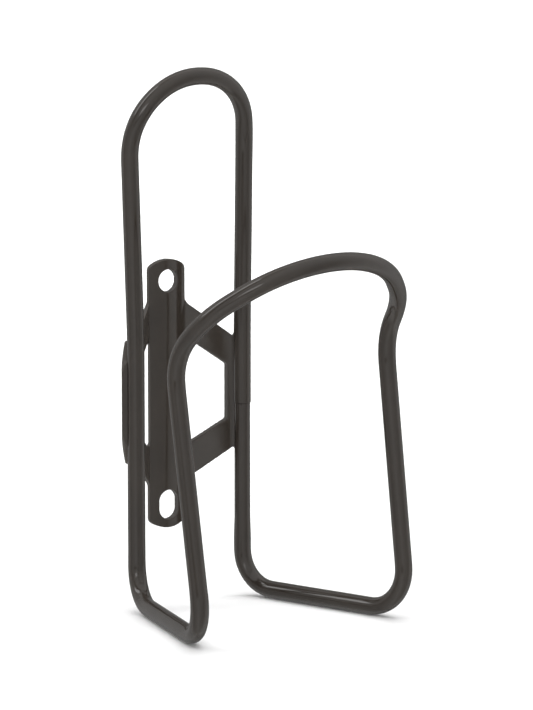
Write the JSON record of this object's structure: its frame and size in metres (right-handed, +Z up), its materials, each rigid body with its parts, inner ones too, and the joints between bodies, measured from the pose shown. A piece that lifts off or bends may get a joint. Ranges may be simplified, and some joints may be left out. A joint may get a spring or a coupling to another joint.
{
  "type": "water bottle cage",
  "caption": "Bent-tube bottle cage with a tall back arch, an open base, a sprung front band and a pressed bracket with one round and one slotted bolt hole.",
  "frame": {"origin": "on the bracket's flat rear mounting face, midway between its two bolt holes", "axes": "+Z up along the bottle's axis, +Y out of the rear mounting face towards the bicycle frame, the bottle on the -Y side, +X to the right seen from the bottle"},
  "size_m": [0.0754, 0.0844, 0.1511],
  "materials": {
    "tube_paint": "gloss black paint on aluminium tube",
    "bracket_paint": "gloss black paint on pressed aluminium",
    "pin_metal": "bare turned aluminium"
  },
  "bodies": {
    "root": {"frame_tube": "tube_paint", "mounting_bracket": "bracket_paint", "joining_pin": "pin_metal"}
  },
  "joints": []
}
